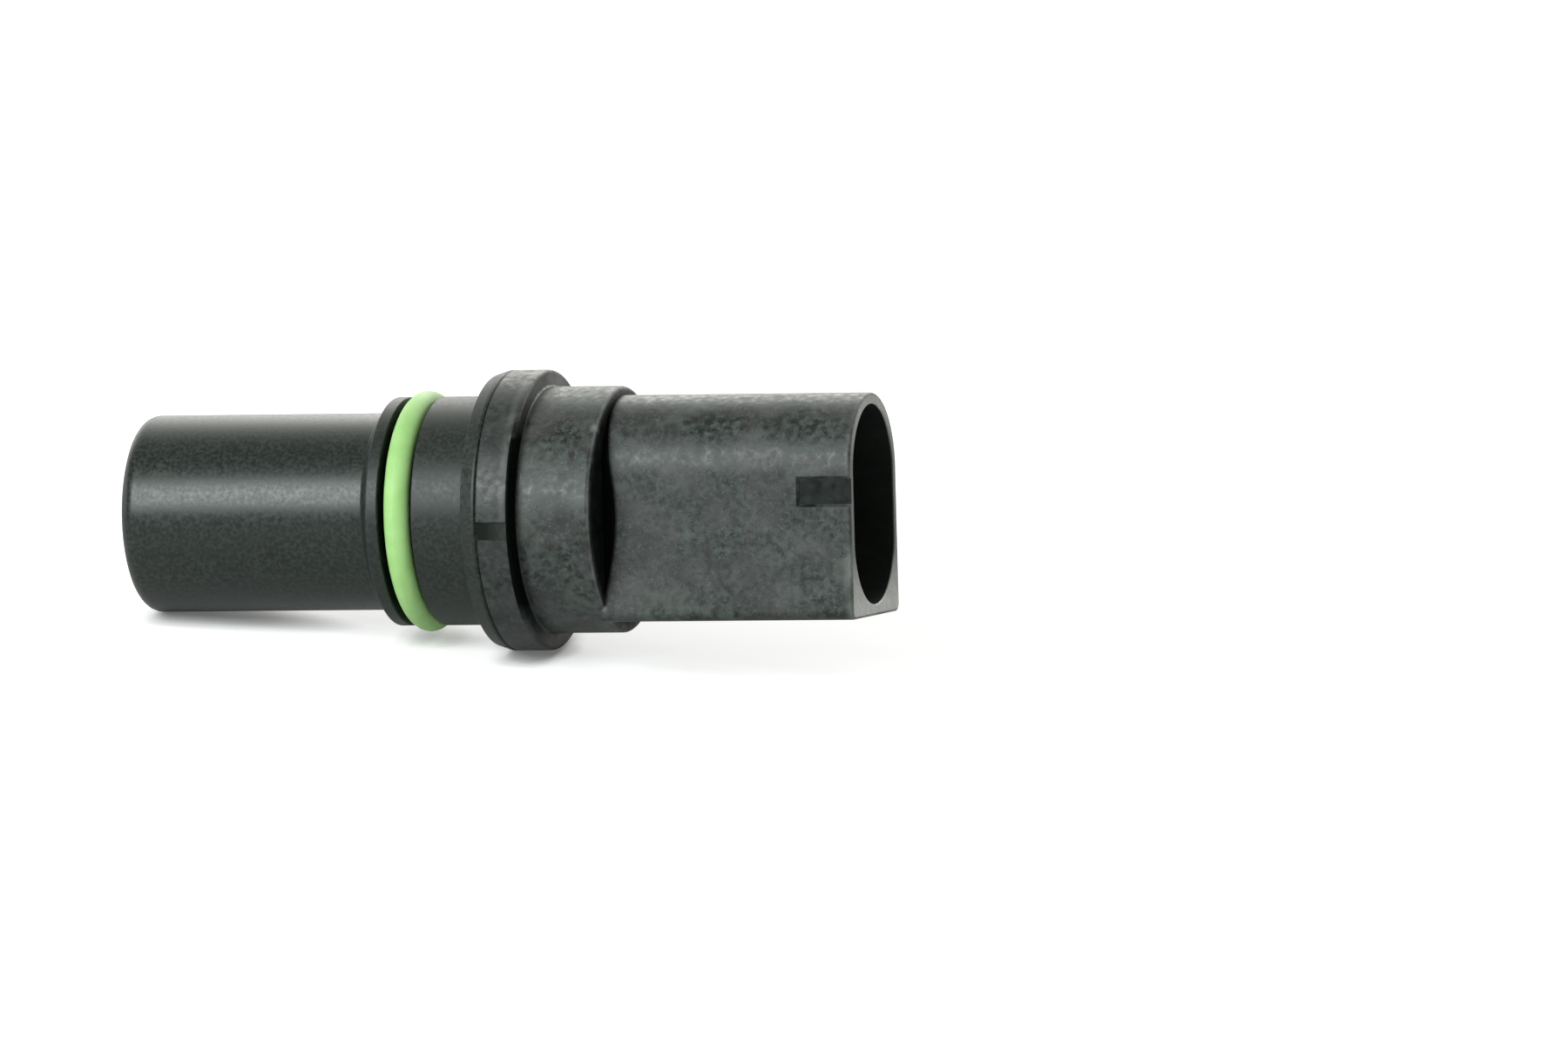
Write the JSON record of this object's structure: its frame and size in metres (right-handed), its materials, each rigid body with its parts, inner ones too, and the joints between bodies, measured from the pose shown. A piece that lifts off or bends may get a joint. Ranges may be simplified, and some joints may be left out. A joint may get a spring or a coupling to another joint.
{
  "type": "crankshaft position sensor",
  "caption": "Push-in engine speed sensor: smooth closed barrel with a green sealing ring, round flange and collar, and a hollow flat-sided connector.",
  "frame": {"origin": "centre of the flange's front seating face, on the sensor's axis", "axes": "+X along the sensor's axis towards the connector, -X towards the tip, +Z towards the connector's arched side, -Z towards its square base"},
  "size_m": [0.0695, 0.0256, 0.0256],
  "materials": {
    "barrel_plastic": "smooth satin moulded plastic, near black",
    "connector_plastic": "matt glass-filled plastic, near black with fine pale fibres",
    "seal_rubber": "satin pale green rubber",
    "former_plastic": "natural moulded plastic",
    "copper_wire": "enamelled copper wire",
    "tape": "amber insulating tape",
    "soft_iron": "bright turned soft iron",
    "magnet_alloy": "ground magnet alloy",
    "carrier_plastic": "matt moulded plastic",
    "tinned_brass": "tin-plated brass sheet",
    "solder": "bright solder"
  },
  "bodies": {
    "root": {"barrel_cup": "barrel_plastic", "connector_body": "connector_plastic", "o_ring": "seal_rubber", "bobbin": "former_plastic", "winding": "copper_wire", "coil_wrap": "tape", "pole_pin": "soft_iron", "magnet": "magnet_alloy", "flux_disc": "soft_iron", "terminal_carrier": "carrier_plastic", "terminal_upper": "tinned_brass", "terminal_lower": "tinned_brass", "lead_upper": "copper_wire", "lead_lower": "copper_wire", "solder_upper": "solder", "solder_lower": "solder"}
  },
  "joints": []
}
